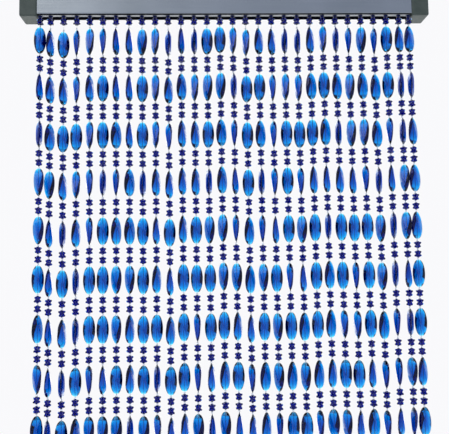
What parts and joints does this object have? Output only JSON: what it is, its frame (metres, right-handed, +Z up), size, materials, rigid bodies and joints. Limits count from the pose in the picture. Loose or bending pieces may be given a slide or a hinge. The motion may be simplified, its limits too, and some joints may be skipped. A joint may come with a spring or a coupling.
{
  "type": "bead curtain on a rail",
  "caption": "Bead curtain: strings of twisted oval beads and small star beads in clear deep blue, hung side by side from a slotted metal rail with moulded end caps.",
  "frame": {"origin": "middle of the rail's top face", "axes": "+X along the rail, -Y out of the curtain's front, +Z up; the strings hang along -Z"},
  "size_m": [0.4986, 0.028, 1.0192],
  "materials": {
    "satin_aluminium": "satin",
    "grey_plastic": "fine grain",
    "blue_acrylic": "clear, polished, faceted",
    "ivory_plastic": "satin",
    "clear_nylon": "clear line"
  },
  "bodies": {
    "root": {"rail": "satin_aluminium", "end_cap_left": "grey_plastic", "end_cap_right": "grey_plastic", "bead_comb": "blue_acrylic"}
  },
  "joints": []
}
